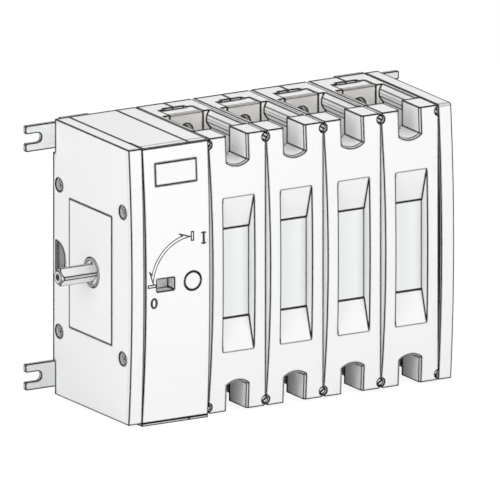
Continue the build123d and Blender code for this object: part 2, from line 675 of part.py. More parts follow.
def throat():
    """Notch through the front block, its rim bevelled evenly along the bowed front."""
    cut = prism_y(throat_outline(0), -POLE_BULGE - PAST, FRONT_BLOCK_D + PAST)
    lean = math.atan2(bowed_y(HEIGHT) - bowed_y(HEIGHT - THROAT_DEPTH), THROAT_DEPTH)
    outward = (0, -math.cos(lean), math.sin(lean))
    sections = []
    for grow in (0, BEVEL_REACH):
        spot = (0, THROAT_BEVEL + grow * outward[1], HEIGHT + grow * outward[2])
        outline = Pos(0, -HEIGHT, 0) * throat_outline(grow)
        sections.append(Plane(origin=spot, x_dir=(1, 0, 0), z_dir=outward) * outline)
    return cut + loft(sections, ruled=True)


def terminal_chamber():
    """Space over a terminal, between facetted rails on the side walls."""
    floor = HEIGHT - CHAMBER_DEPTH
    left = [(RAIL_TOP_INSET, HEIGHT + PAST), (RAIL_TOP_INSET, HEIGHT)]
    left += [(x, HEIGHT - drop) for x, drop in RAIL_EDGES]
    left += [(POLE_WALL, HEIGHT - RAIL_FOOT), (POLE_WALL, floor)]
    right = [(POLE_PITCH - x, z) for x, z in reversed(left)]
    return prism_y(face(*left, *right), FRONT_BLOCK_D - FIT, TERMINAL_Y)


def nut_trap():
    """Six-sided space that keeps a terminal's nut from turning, and room behind it for the bolt's end."""
    trap = hex_y(NUT_AF + 2 * FIT, TERMINAL_Y, TERMINAL_BACK_Y + NUT_T + FIT, POLE_MID, TERMINAL_HOLE_Z)
    return trap + rod_y(BOLT_ROOM_R, TERMINAL_Y, TERMINAL_BACK_Y + BOLT_ROOM, POLE_MID, TERMINAL_HOLE_Z)


def terminal_slot():
    """Slot that a terminal stands in."""
    half = TERMINAL_W / 2 + FIT / 2
    return box(POLE_MID - half, POLE_MID + half, TERMINAL_Y, SHELF_FRONT_Y,
               MID_Z + TERMINAL_END_FROM_AXIS - PAST, HEIGHT + PAST)


def shroud_slot():
    """Narrow slot behind a terminal's shelf."""
    return box(POLE_MID - SHROUD_SLOT_W / 2, POLE_MID + SHROUD_SLOT_W / 2, SHELF_REAR_Y - FIT,
               SHELF_REAR_Y + SHROUD_SLOT_D, HEIGHT - SHROUD_SLOT_DEPTH, HEIGHT + PAST)


def shelf_space(x1, low):
    """Space from the left end of the shelf behind a terminal to x1, from a height up past the top."""
    return box(POLE_MID - TERMINAL_W / 2, x1, SHELF_FRONT_Y - FIT, SHELF_REAR_Y, low, HEIGHT + PAST)


def shelf_tongue():
    """The shelf's left part, which the right half of a pole reaches over the left half's space."""
    high = HEIGHT - SHELF_DROP
    return box(POLE_MID - TERMINAL_W / 2 + FIT, POLE_MID + PAST, SHELF_FRONT_Y, SHELF_REAR_Y - FIT,
               high - SHELF_T, high)


def contact_cavity():
    """Closed space that the moving contacts turn in."""
    rear = AXIS_Y + BLADE_REACH + BLADE_END_CLEARANCE
    return box(CAVITY_WALL, POLE_PITCH - CAVITY_WALL, CONTACT_CAVITY_FRONT, rear,
               MID_Z - CONTACT_CAVITY_HALF_H, MID_Z + CONTACT_CAVITY_HALF_H)


def recess_slope(edge_z, floor_z):
    """Slope from the recess floor's end up through its edge in the bowed surface, as two outline points."""
    reach = POLE_BULGE + PAST
    surface = bowed_y(edge_z)
    beyond = (edge_z - floor_z) * (reach + surface) / (RECESS_FLOOR_Y - surface)
    return (-reach, edge_z + beyond), (RECESS_FLOOR_Y, floor_z)


def window_recess():
    """Scooped recess on a pole's front, sloping up to the surface at both ends."""
    upper = recess_slope(HEIGHT - RECESS_TOP, HEIGHT - RECESS_FLOOR_TOP)
    lower = recess_slope(RECESS_BOTTOM, RECESS_FLOOR_BOTTOM)
    return prism_x(face(*upper, *reversed(lower)), RECESS_SIDE, POLE_PITCH - RECESS_SIDE)


def pane_box(grow):
    """Space of the window pane in the recess floor."""
    return box(RECESS_SIDE - grow, POLE_PITCH - RECESS_SIDE + grow, RECESS_FLOOR_Y, RECESS_FLOOR_Y + PANE_T,
               RECESS_FLOOR_BOTTOM - grow, HEIGHT - RECESS_FLOOR_TOP + grow)


def clip_pockets():
    """Half-round pockets at a pole's front corners, for the clips."""
    z = HEIGHT - CLIP_FROM_TOP
    cuts = []
    for x in (0, POLE_PITCH):
        cuts += both_ends(rod_y(CLIP_POCKET_R, -POLE_BULGE - PAST, CLIP_POCKET_DEPTH, x, z))
        cuts += both_ends(rod_y(CLIP_STEM_R, 0, CLIP_STEM_REACH, x, z))
    return cuts


def pole_block():
    """Outside of one pole before it is divided."""
    block = prism_x(case_outline(POLE_BULGE), 0, POLE_PITCH)
    low, high = HEIGHT - SEAM_CHAMFER - PAST, HEIGHT + PAST
    for x, side in ((0, 1), (POLE_PITCH, -1)):
        outside = x - side * PAST
        inside = x + side * (SEAM_CHAMFER + PAST)
        corner = face((outside, low), (inside, high), (outside, high))
        block -= both_ends(prism_y(corner, -PAST, BACK_Y + PAST))
    block -= front_draft(0, 1, POLE_DRAFT)
    block -= front_draft(POLE_PITCH, -1, POLE_DRAFT)
    return block - tie_holes(-PAST, POLE_PITCH + PAST)


def pole_front_cover(block):
    """One-piece front of a pole."""
    cover = block & box(-PAST, POLE_PITCH + PAST, -POLE_BULGE - PAST, FRONT_BLOCK_D, -PAST, HEIGHT + PAST)
    cover -= both_ends(throat())
    cover -= window_recess()
    cover -= pane_box(0)
    cover -= box(RECESS_SIDE + PANE_LEDGE, POLE_PITCH - RECESS_SIDE - PANE_LEDGE, RECESS_FLOOR_Y, FRONT_BLOCK_D,
                 RECESS_FLOOR_BOTTOM + PANE_LEDGE, HEIGHT - RECESS_FLOOR_TOP - PANE_LEDGE)
    cover -= contact_cavity()
    return cover - clip_pockets()


def pole_bodies(block):
    """The two halves of a pole behind its front cover."""
    body = block & box(-PAST, POLE_PITCH + PAST, FRONT_BLOCK_D, BACK_Y + PAST, -PAST, HEIGHT + PAST)
    for cut in (terminal_chamber(), nut_trap(), terminal_slot(), shroud_slot()):
        body -= both_ends(cut)
    body -= contact_cavity()
    body -= rod_x(JOURNAL_R + RUN, -PAST, POLE_PITCH + PAST, AXIS_Y, MID_Z)
    left = body & box(-PAST, POLE_MID, 0, BACK_Y + PAST, -PAST, HEIGHT + PAST)
    right = body & box(POLE_MID, POLE_PITCH + PAST, 0, BACK_Y + PAST, -PAST, HEIGHT + PAST)
    left -= both_ends(shelf_space(POLE_MID + PAST, HEIGHT - SHELF_DROP - SHELF_T - FIT))
    right -= both_ends(shelf_space(POLE_MID + TERMINAL_W / 2, HEIGHT - SHELF_DROP))
    return left, right + both_ends(shelf_tongue())


def terminal():
    """Upper terminal: an upright plate with a knife contact on its front."""
    half = TERMINAL_W / 2
    top = HEIGHT - TERMINAL_BELOW_TOP
    plate = box(POLE_MID - half, POLE_MID + half, TERMINAL_Y, TERMINAL_BACK_Y,
                MID_Z + TERMINAL_END_FROM_AXIS, top)
    edge = plate.edges().filter_by(Axis.X).group_by(Axis.Z)[-1].sort_by(Axis.Y)[0]
    plate = fillet(edge, TERMINAL_ROUNDING)
    plate -= rod_y(TERMINAL_HOLE_R, TERMINAL_Y - PAST, TERMINAL_BACK_Y + PAST, POLE_MID, TERMINAL_HOLE_Z)
    knife = box(POLE_MID - KNIFE_T / 2, POLE_MID + KNIFE_T / 2, AXIS_Y - KNIFE_PAST_AXIS, TERMINAL_Y,
                MID_Z + KNIFE_NEAR, MID_Z + KNIFE_FAR)
    rear_corner = knife.edges().filter_by(Axis.X).group_by(Axis.Z)[0].sort_by(Axis.Y)[0]
    return plate + fillet(rear_corner, KNIFE_PAST_AXIS / 2)


def rotor():
    """Insulating drum that carries the moving contacts and couples to the next pole's."""
    inner = CAVITY_WALL + ROTOR_END_GAP
    drum = rod_x(ROTOR_R, inner, POLE_PITCH - inner, AXIS_Y, MID_Z)
    drum += rod_x(JOURNAL_R, FIT, POLE_PITCH - FIT, AXIS_Y, MID_Z)
    drum += diamond_x(COUPLING_SQUARE, POLE_PITCH - FIT, POLE_PITCH + COUPLING_LEN)
    drum -= diamond_x(COUPLING_SQUARE + 2 * GAP, -PAST, COUPLING_LEN + COUPLING_GAP)
    return drum - [blade_space(side) for side in (-1, 1)]


def blade_space(side):
    """Flat bar through the rotor, on one side of the knife contacts."""
    near = KNIFE_T / 2 + GAP
    x = POLE_MID + side * (near + BLADE_T / 2)
    return Pos(x, AXIS_Y, MID_Z) * Box(BLADE_T, 2 * BLADE_REACH, BLADE_W)


def moving_contacts():
    """Pair of copper blades with round ends."""
    sweep_space = rod_x(BLADE_REACH, 0, POLE_PITCH, AXIS_Y, MID_Z)
    return [blade_space(side) & sweep_space for side in (-1, 1)]


def arc_plates():
    """Stacks of notched steel plates that the arc is drawn into, at both breaks."""
    plate = box(CAVITY_WALL, POLE_PITCH - CAVITY_WALL, -ARC_PLATE_T / 2, ARC_PLATE_T / 2,
                ARC_PLATE_NEAR, ARC_PLATE_FAR)
    plate -= box(POLE_MID - ARC_SLOT_W / 2, POLE_MID + ARC_SLOT_W / 2, -ARC_PLATE_T, ARC_PLATE_T,
                 ARC_PLATE_NEAR - PAST, ARC_PLATE_FAR - ARC_PLATE_WEB)
    turns = [angle + end for end in (0, 180) for angle in ARC_PLATE_ANGLES]
    return [Pos(0, AXIS_Y, MID_Z) * Rot(turn, 0, 0) * plate for turn in turns]


def terminal_nut():
    """Hexagon nut in the trap behind a terminal."""
    nut = hex_y(NUT_AF, TERMINAL_BACK_Y, TERMINAL_BACK_Y + NUT_T, POLE_MID, TERMINAL_HOLE_Z)
    return nut - rod_y(NUT_CORE_R, TERMINAL_BACK_Y - PAST, TERMINAL_BACK_Y + NUT_T + PAST,
                       POLE_MID, TERMINAL_HOLE_Z)


def pole_clip():
    """Slotted clip pushed into the pocket across a seam."""
    z = HEIGHT - CLIP_FROM_TOP
    floor = CLIP_POCKET_DEPTH
    head = rod_y(CLIP_R, floor - CLIP_HEAD_T, floor, 0, z)
    slot = Rot(0, CLIP_SLOT_TURN, 0) * Box(2 * CLIP_R + PAST, CLIP_HEAD_T, CLIP_SLOT_W)
    head -= Pos(0, floor - CLIP_HEAD_T, z) * slot
    return head + rod_y(CLIP_STEM_R - FIT / 2, floor, CLIP_STEM_REACH - FIT, 0, z)


def right_end_cover():
    """Lid over the last pole's right side."""
    outer = prism_x(case_outline(MECH_BULGE), END_X, BODY_W)
    front_edge = outer.edges().filter_by(Axis.X).group_by(Axis.Z)[-1].sort_by(Axis.Y)[0]
    lid = fillet(front_edge, END_COVER_FILLET)
    lid -= prism_x(case_outline(MECH_BULGE, WALL), END_X - PAST, BODY_W - WALL)
    lid += [rod_x(TIE_BOSS_R, END_X, BODY_W - WALL, y, z) & outer for y, z in TIE_POINTS]
    lid -= tie_holes(END_X - PAST, BODY_W + PAST)
    return lid - [rod_x(TIE_RECESS_R, BODY_W - NUT_RECESS_DEPTH, BODY_W + PAST, y, z) for y, z in TIE_POINTS]


def tie_rod(y, z):
    """Long screw that clamps the whole stack."""
    head = TIE_RECESS_DEPTH - TIE_HEAD_T
    rod = rod_x(TIE_R, TIE_RECESS_DEPTH, BODY_W - TIE_END_INSET, y, z)
    rod += rod_x(TIE_HEAD_R, head, TIE_RECESS_DEPTH, y, z)
    return rod - hex_x(TIE_SOCKET_AF, head - PAST, head + TIE_SOCKET_DEPTH, y, z)


def tie_rod_nut(y, z):
    """Nut at a tie rod's far end."""
    seat = BODY_W - NUT_RECESS_DEPTH
    nut = hex_x(TIE_NUT_AF, seat, seat + TIE_NUT_T, y, z)
    return nut - rod_x(TIE_R + FIT / 2, seat - PAST, seat + TIE_NUT_T + PAST, y, z)


def foot(outer_x, inner_x, z):
    """Flat steel foot with an open slot at its outer end and a shoulder towards the casing's end."""
    side = 1 if outer_x > inner_x else -1
    low, high = z - FOOT_H / 2, z + FOOT_H / 2
    plate = box(min(outer_x, inner_x), max(outer_x, inner_x), CASE_DEPTH, CASE_DEPTH + FOOT_T, low, high)
    shoulder_x = outer_x - side * FOOT_SHOULDER_AT
    rise, fall = (FOOT_SHOULDER_RISE, 0) if z > MID_Z else (0, FOOT_SHOULDER_RISE)
    plate += box(min(shoulder_x, inner_x), max(shoulder_x, inner_x), CASE_DEPTH, CASE_DEPTH + FOOT_T,
                 low - fall, high + rise)
    slot_centre = outer_x - side * (FOOT_SLOT_DEPTH - FOOT_SLOT_W / 2)
    slot = rod_y(FOOT_SLOT_W / 2, CASE_DEPTH - PAST, CASE_DEPTH + FOOT_T + PAST, slot_centre, z)
    slot += box(min(slot_centre, outer_x + side), max(slot_centre, outer_x + side),
                CASE_DEPTH - PAST, CASE_DEPTH + FOOT_T + PAST, z - FOOT_SLOT_W / 2, z + FOOT_SLOT_W / 2)
    plate -= slot
    prong_ends = plate.faces().filter_by(Axis.X).group_by(Axis.X)[-1 if side > 0 else 0]
    plate = fillet([edge for end in prong_ends for edge in end.edges().filter_by(Axis.Y)], FOOT_CORNER_R)
    screws_x = LEFT_FOOT_SCREWS_X if side < 0 else RIGHT_FOOT_SCREWS_X
    return plate - [foot_screw(x, z, FIT / 2) for x in screws_x]


def foot_screw(x, z, grow=0.0):
    """Countersunk screw from the back of a foot."""
    sink = FOOT_SCREW_HEAD_R - FOOT_SCREW_R
    back = CASE_DEPTH + FOOT_T
    cone = Cone(FOOT_SCREW_R + grow, FOOT_SCREW_HEAD_R + grow, sink)
    head = Pos(x, back - sink / 2, z) * Rot(-90, 0, 0) * cone
    return head + rod_y(FOOT_SCREW_R + grow, back - FOOT_SCREW_LEN, back - sink, x, z)


def build_mechanism():
    """Left-hand module: covers, drive and indicator."""
    save("left_cover", left_cover())
    save("side_label_plate", side_label_plate())
    save("shaft_collar", shaft_collar())
    save("shaft_bush", shaft_bush())
    save("operating_shaft", operating_shaft())
    save("mechanism_shell_left", mechanism_shell_left())
    save("mechanism_shell_right", mechanism_shell_right())
    save("front_panel", front_panel())
    save("front_label_plate", front_label_plate())
    save("shaft_hole_plug", shaft_hole_plug())
    save("mechanism_frame", mechanism_frame())
    save("drive_crank", drive_crank())
    save("spring_rod", spring_rod())
    save("spring_seat", spring_seat())
    save("snap_spring", snap_spring())
    save("shaft_bevel_gear", shaft_bevel_gear())
    save("front_drive_hub", front_drive_hub())
    save("position_indicator", position_indicator())


def build_poles():
    """The poles, side by side, and the small parts that they share."""
    block = pole_block()
    cover = pole_front_cover(block)
    left, right = pole_bodies(block)
    upper = terminal()
    lower = mirror(upper, about=Plane.XY.offset(MID_Z))
    pane = pane_box(-FIT / 2)
    drum = rotor()
    blades = Compound(moving_contacts())
    shared = {"terminal_nuts": [], "arc_plates": []}
    for index in range(POLE_COUNT):
        place = Pos(POLES_X + index * POLE_PITCH, 0, 0)
        pole = f"pole_{index + 1}"
        save(f"{pole}_front_cover", place * cover)
        save(f"{pole}_left_body", place * left)
        right_body = place * right
        if index == POLE_COUNT - 1:
            right_body -= foot_screw_holes(RIGHT_FOOT_SCREWS_X)
        save(f"{pole}_right_body", right_body)
        save(f"{pole}_window", place * pane)
        save(f"{pole}_upper_terminal", place * upper)
        save(f"{pole}_lower_terminal", place * lower)
        save(f"{pole}_rotor", place * drum)
        save(f"{pole}_blades", place * blades)
        shared["terminal_nuts"] += [place * piece for piece in both_ends(terminal_nut())]
        shared["arc_plates"] += [place * piece for piece in arc_plates()]
    for name, pieces in shared.items():
        save(name, Compound(pieces))
    clips = []
    poles_only = box(POLES_X, END_X, -POLE_BULGE, CASE_DEPTH, 0, HEIGHT)
    for index in range(POLE_COUNT + 1):
        place = Pos(POLES_X + index * POLE_PITCH, 0, 0)
        clips += [place * piece & poles_only for piece in both_ends(pole_clip())]
    save("pole_clips", Compound(clips))


def build_fixings():
    """End cover, tie rods and feet."""
    save("right_end_cover", right_end_cover())
    save("tie_rods", Compound([tie_rod(y, z) for y, z in TIE_POINTS]))
    save("tie_rod_nuts", Compound([tie_rod_nut(y, z) for y, z in TIE_POINTS]))
    feet = [foot(-FOOT_REACH_LEFT, LEFT_FOOT_END, z) for z in FOOT_CENTRES_Z]
    feet += [foot(BODY_W + FOOT_REACH_RIGHT, RIGHT_FOOT_END, z) for z in FOOT_CENTRES_Z]
    save("mounting_feet", Compound(feet))
    screws = [foot_screw(x, z) for x in LEFT_FOOT_SCREWS_X + RIGHT_FOOT_SCREWS_X for z in FOOT_CENTRES_Z]
    save("foot_screws", Compound(screws))


build_mechanism()
build_poles()
build_fixings()
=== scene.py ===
import bpy
import math
from mathutils import Matrix, Vector


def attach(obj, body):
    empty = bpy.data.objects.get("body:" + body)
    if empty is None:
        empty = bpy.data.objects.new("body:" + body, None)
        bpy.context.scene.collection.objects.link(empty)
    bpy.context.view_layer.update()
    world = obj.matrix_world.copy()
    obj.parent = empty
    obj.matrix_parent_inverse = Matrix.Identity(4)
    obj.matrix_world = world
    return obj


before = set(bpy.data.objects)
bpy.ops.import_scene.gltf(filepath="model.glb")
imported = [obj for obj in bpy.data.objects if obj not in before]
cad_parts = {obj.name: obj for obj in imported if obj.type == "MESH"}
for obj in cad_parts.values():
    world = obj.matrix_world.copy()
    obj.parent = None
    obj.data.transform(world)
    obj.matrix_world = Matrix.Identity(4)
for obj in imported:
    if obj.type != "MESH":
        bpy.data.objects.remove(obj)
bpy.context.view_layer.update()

MM = 0.001
POLES = range(1, 5)

# Where the switch's stations lie in the row's frame, in metres
CASE_FRONT_Y = -0.070
HUB_X = -0.1061
MID_Z = 0.1415
PANEL_RISE = 0.006
PANEL_HALF_HEIGHT = 0.1385
PANEL_RADIUS = (PANEL_HALF_HEIGHT ** 2 + PANEL_RISE ** 2) / (2 * PANEL_RISE)
INDICATOR_FACE_Y = -0.0617
WINDOW_FROM_HUB = 30.6 * MM

# Printed marks; places are measured from the hub of the front handle
STROKE = 1.3 * MM
PRINT_PROUD = 0.06 * MM
PRINT_DEPTH = 0.3 * MM
ARROW_OUTER_R = 47.5 * MM
ARROW_OUTER_SPAN = (104, 166)
ARROW_INNER_R = 44.6 * MM
ARROW_INNER_SPAN = (95, 175)
ARROW_TIP = (-44.4 * MM, 1.9 * MM)
ARROW_BARB = (-48.6 * MM, 14.6 * MM)
ARROW_BACK = (-46.0 * MM, 11.4 * MM)
TICK_LONG = 8.6 * MM
TICK_WIDE = 2.5 * MM
OFF_TICK = (-45.9 * MM, 0)
ON_TICK = (-0.1 * MM, 44.9 * MM)
ZERO_PLACE = (-43.6 * MM, -17.4 * MM)
ZERO_SIZE = (8.2 * MM, 11.2 * MM)
ZERO_SIDE = 2.6 * MM
ZERO_CAP = 2.0 * MM
ONE_PLACE = (12.6 * MM, 41.5 * MM)
ONE_SIZE = (4.6 * MM, 10.4 * MM)
ONE_BAR = 1.9 * STROKE
ON_MARK_HALF_LENGTH = 4.2 * MM
ON_MARK_HALF_SERIF = 2.2 * MM
ON_MARK_BAR = 1.8 * STROKE
ARC_SEGMENTS = 192
ARC_SIDES = 8
OVAL_SEGMENTS = 64

# Edge lines, as the drawing has them: how far the rounding reaches for each kind and how black they are, then
# how far the rounded normal leaves the face, or points backward for rear lines, where a line starts and is full
LINE_REACH = 2.4 * MM
TOP_LINE_REACH = 3.4 * MM
REAR_LINE_REACH = 7.0 * MM
SMALL_LINE_REACH = 1.2 * MM
LINE_SHADE = 0.004
LINE_COVER = 0.985
EDGE_TURN = (0.0015, 0.006)
TOP_REAR_TURN = (0.03, 0.07)
SIDE_REAR_TURN = (0.17, 0.24)
SQUARE_FACE = 0.9
LINE_SAMPLES = 12

# Finishes: noise is in lumps per metre, relief in metres
EDGE_SOFTNESS = 0.3 * MM
SOFT_SAMPLES = 4
PLASTIC_IOR = 1.48
LACQUER_IOR = 1.5
CLOUD_CONTRAST = 0.012
WARM_TINT = (0, 0, -0.004)

# Studio
FLOOR_SIZE = 6
FLOOR_DROP = 0.5 * MM
FLOOR_SHADE = 0.9
FLOOR_GLOW = 1.1
FLOOR_GLOW_SHARE = 0.82
SKY_LIGHT = 0.5

# The photograph's view: a parallel projection, placed by the corner where the front panel meets the left cover
VIEW_TURN = math.radians(30.4)
VIEW_TILT = math.radians(14.73)
PIXELS_PER_METRE = 1027
IMAGE_PIXELS = 500
VIEW_CORNER = (-0.175, -0.070, 0.280)
VIEW_CORNER_PIXEL = (128.67, 150.80)
CAMERA_DISTANCE = 2


# Finishes

class Signal:
    """A shader socket that takes part in sums."""

    def __init__(self, graph, socket):
        self.graph = graph
        self.socket = socket

    def __add__(self, other):
        return self.graph.maths("ADD", self, other)

    def __sub__(self, other):
        return self.graph.maths("SUBTRACT", self, other)

    def __rsub__(self, other):
        return self.graph.maths("SUBTRACT", other, self)

    def __mul__(self, other):
        return self.graph.maths("MULTIPLY", self, other)

    __radd__ = __add__
    __rmul__ = __mul__


class Graph:
    """A node tree, and the one way to add nodes to it."""

    def __init__(self, tree):
        self.tree = tree

    def node(self, kind, settings, inputs, output=0):
        made = self.tree.nodes.new(kind)
        for name, value in settings.items():
            if name == "stops":
                for element, (position, shade) in zip(made.color_ramp.elements, value):
                    element.position = position
                    element.color = grey(shade)
            else:
                setattr(made, name, value)
        for socket, value in inputs.items():
            self.feed(made.inputs[socket], value)
        return Signal(self, made.outputs[output]) if made.outputs else None

    def feed(self, socket, value):
        if isinstance(value, Signal):
            self.tree.links.new(value.socket, socket)
        else:
            socket.default_value = value

    def maths(self, operation, first, second):
        return self.node("ShaderNodeMath", {"operation": operation}, {0: first, 1: second})

    def part_of(self, vector, axis):
        return self.node("ShaderNodeSeparateXYZ", {}, {"Vector": vector}, axis)


class Finish(Graph):
    """A procedural material on the row's own coordinates."""

    def __init__(self, name, **constants):
        self.material = bpy.data.materials.new(name)
        self.material.use_nodes = True
        super().__init__(self.material.node_tree)
        self.shader = self.tree.nodes["Principled BSDF"]
        for socket, value in constants.items():
            self.set(socket.replace("_", " "), value)
        self.place = self.node("ShaderNodeTexCoord", {}, {}, "Object")

    def set(self, socket, value):
        self.feed(self.shader.inputs[socket], value)

    def noise(self, scale, detail, stretch=(1, 1, 1)):
        """Cloudy signal from 0 to 1."""
        grain = self.node("ShaderNodeMapping", {}, {"Vector": self.place, "Scale": stretch})
        return self.node("ShaderNodeTexNoise", {}, {"Vector": grain, "Scale": scale, "Detail": detail}, "Fac")

    def blend(self, share, first, second):
        """Colour between two colours."""
        return self.node("ShaderNodeMix", {"data_type": "RGBA"}, {0: share, 6: first, 7: second}, 2)

    def step(self, signal, low, high):
        """0 below one value of a signal and 1 above another."""
        return self.node("ShaderNodeValToRGB", {"stops": ((low, 0), (high, 1))}, {"Fac": signal})

    def rounded_normal(self, reach):
        """The normal that the surface would have if its edges were rounded this far."""
        return self.node("ShaderNodeBevel", {"samples": LINE_SAMPLES}, {"Radius": reach})

    def edge(self, reach):
        """1 along the edges of a piece and 0 on its faces."""
        rounded = self.rounded_normal(reach)
        flat = self.node("ShaderNodeNewGeometry", {}, {}, "True Normal")
        agree = self.node("ShaderNodeVectorMath", {"operation": "DOT_PRODUCT"}, {0: rounded, 1: flat}, "Value")
        return self.step(1 - agree, *EDGE_TURN)

    def fine_lines(self, reach):
        """Edge lines of one width."""
        return self.edge(reach) * LINE_COVER

    def drawn_lines(self):
        """Edge lines, wider where the drawing's view foreshortens them: on top, and at the rear of the left."""
        own = self.node("ShaderNodeTexCoord", {}, {}, "Normal")
        level = self.maths("GREATER_THAN", self.part_of(own, "Z"), SQUARE_FACE)
        left = self.maths("LESS_THAN", self.part_of(own, "X"), -SQUARE_FACE)
        backward = self.part_of(self.rounded_normal(REAR_LINE_REACH), "Y")
        top = self.maths("MAXIMUM", self.edge(TOP_LINE_REACH), self.step(backward, *TOP_REAR_TURN)) * level
        wide = top + self.step(backward, *SIDE_REAR_TURN) * left
        return self.maths("MAXIMUM", self.edge(LINE_REACH), wide) * LINE_COVER

    def draw(self, lines, body):
        """Body colour under near-black lines, which are left without a sheen of their own."""
        self.set("Base Color", self.blend(lines, body, grey(LINE_SHADE)))
        self.set("Metallic", lines)

    def bumps(self, height, distance):
        """Fine relief over softened edges."""
        soft = self.node("ShaderNodeBevel", {"samples": SOFT_SAMPLES}, {"Radius": EDGE_SOFTNESS})
        relief = {"Height": height, "Distance": distance, "Strength": 1.0, "Normal": soft}
        self.set("Normal", self.node("ShaderNodeBump", {}, relief, "Normal"))


def grey(value, tint=(0, 0, 0)):
    return (value + tint[0], value + tint[1], value + tint[2], 1)


def moulded(name, shade):
    """Thermoset casing: fine spark-eroded grain, faint clouds and dark lines along its edges."""
    finish = Finish(name, IOR=PLASTIC_IOR)
    clouds = finish.noise(9, 3)
    dark, bright = grey(shade - CLOUD_CONTRAST, WARM_TINT), grey(shade + CLOUD_CONTRAST, WARM_TINT)
    body = finish.blend(clouds, dark, bright)
    finish.draw(finish.drawn_lines(), body)
    fine = finish.noise(2600, 2)
    finish.set("Roughness", fine * 0.10 + 0.50)
    finish.bumps(fine, 0.03 * MM)
    return finish.material


def turned_ring():
    """Smooth moulding of the ring and bush round the shaft, with fine edge lines."""
    finish = Finish("collar_moulding", IOR=PLASTIC_IOR)
    clouds = finish.noise(20, 3)
    body = finish.blend(clouds, grey(0.74), grey(0.77))
    finish.draw(finish.fine_lines(SMALL_LINE_REACH), body)
    finish.set("Roughness", clouds * 0.08 + 0.38)
    finish.bumps(finish.noise(1500, 2), 0.01 * MM)
    return finish.material


def satin_plate():
    """Blank plate: smooth lacquered sheet."""
    finish = Finish("blank_plate", IOR=LACQUER_IOR)
    clouds = finish.noise(14, 2)
    sheet = finish.blend(clouds, grey(0.78), grey(0.80))
    finish.draw(finish.fine_lines(LINE_REACH), sheet)
    finish.set("Roughness", clouds * 0.08 + 0.3)
    finish.bumps(finish.noise(900, 2), 0.01 * MM)
    return finish.material


def window_pane():
    """Milky inspection pane of a pole, glossy outside."""
    finish = Finish("window_pane", IOR=LACQUER_IOR, Coat_Roughness=0.06)
    clouds = finish.noise(7, 2)
    milk = finish.blend(clouds, (0.75, 0.765, 0.77, 1), (0.79, 0.80, 0.805, 1))
    finish.draw(finish.drawn_lines(), milk)
    finish.set("Roughness", finish.noise(60, 3) * 0.06 + 0.12)
    finish.set("Coat Weight", 0.5)
    finish.bumps(finish.noise(18, 1), 0.12 * MM)
    return finish.material


def plated_steel(name, dark, bright, roughness, reach=LINE_REACH):
    """Rolled or turned metal with thin bright plating, between two shades of colour."""
    finish = Finish(name, Metallic=0.9)
    brush = finish.noise(420, 4, (1, 1, 14))
    stains = finish.noise(45, 3)
    skin = finish.blend(brush * 0.5 + stains * 0.5, dark, bright)
    finish.set("Base Color", finish.blend(finish.fine_lines(reach), skin, grey(LINE_SHADE)))
    finish.set("Roughness", brush * 0.14 + stains * 0.10 + (roughness - 0.12))
    finish.bumps(brush, 0.02 * MM)
    return finish.material


def rotor_moulding():
    """Glass-filled thermoset of the contact rotors."""
    finish = Finish("rotor_moulding", IOR=LACQUER_IOR)
    fibres = finish.noise(700, 4, (4, 1, 1))
    finish.set("Base Color", finish.blend(fibres, (0.36, 0.29, 0.22, 1), (0.48, 0.40, 0.31, 1)))
    finish.set("Roughness", fibres * 0.15 + 0.45)
    finish.bumps(fibres, 0.04 * MM)
    return finish.material


def printing_ink():
    """Black pad-printed ink, a little uneven."""
    finish = Finish("printing_ink", IOR=LACQUER_IOR)
    cover = finish.noise(500, 3)
    finish.set("Base Color", finish.blend(cover, grey(0.012), grey(0.03)))
    finish.set("Roughness", cover * 0.2 + 0.45)
    finish.bumps(cover, 0.01 * MM)
    return finish.material


def studio_floor():
    """Pale sweep that shows white to the camera and keeps a soft shadow."""
    material = bpy.data.materials.new("studio_floor")
    material.use_nodes = True
    material.node_tree.nodes.clear()
    graph = Graph(material.node_tree)
    matte = graph.node("ShaderNodeBsdfDiffuse", {}, {"Color": grey(FLOOR_SHADE)})
    glow = graph.node("ShaderNodeEmission", {}, {"Color": grey(1), "Strength": FLOOR_GLOW})
    seen = graph.node("ShaderNodeLightPath", {}, {}, "Is Camera Ray")
    mix = graph.node("ShaderNodeMixShader", {}, {0: seen * FLOOR_GLOW_SHARE, 1: matte, 2: glow})
    graph.node("ShaderNodeOutputMaterial", {}, {"Surface": mix})
    return material


def paint(nodes, material):
    for name in nodes:
        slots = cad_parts[name].data.materials
        if not slots:
            slots.append(material)
        for index in range(len(slots)):
            slots[index] = material


# New pieces

def start():
    bpy.ops.object.select_all(action="DESELECT")


def settle(piece):
    """Takes up an object's place, turn and size into its mesh."""
    start()
    piece.select_set(True)
    bpy.context.view_layer.objects.active = piece
    bpy.ops.object.transform_apply(location=True, rotation=True, scale=True)


def finished(piece, name, body, material):
    """Names a piece, brings its object back to the origin and lets it ride."""
    settle(piece)
    piece.name = name
    piece.data.name = name
    piece.data.materials.clear()
    piece.data.materials.append(material)
    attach(piece, body)
    return piece


def joined(parts):
    start()
    for part in parts:
        part.select_set(True)
    bpy.context.view_layer.objects.active = parts[0]
    bpy.ops.object.join()
    return bpy.context.view_layer.objects.active


def stroke(first, second, width=STROKE):
    """Straight printed line between two points of the front view."""
    (x0, z0), (x1, z1) = first, second
    start()
    bpy.ops.mesh.primitive_cube_add(size=1, location=((x0 + x1) / 2, 0, (z0 + z1) / 2))
    line = bpy.context.active_object
    line.scale = (math.hypot(x1 - x0, z1 - z0) + width, PRINT_DEPTH, width)
    line.rotation_euler = (0, -math.atan2(z1 - z0, x1 - x0), 0)
    settle(line)
    return line


def outline(points):
    """Closed printed outline through the points."""
    return [stroke(a, b) for a, b in zip(points, points[1:] + points[:1])]


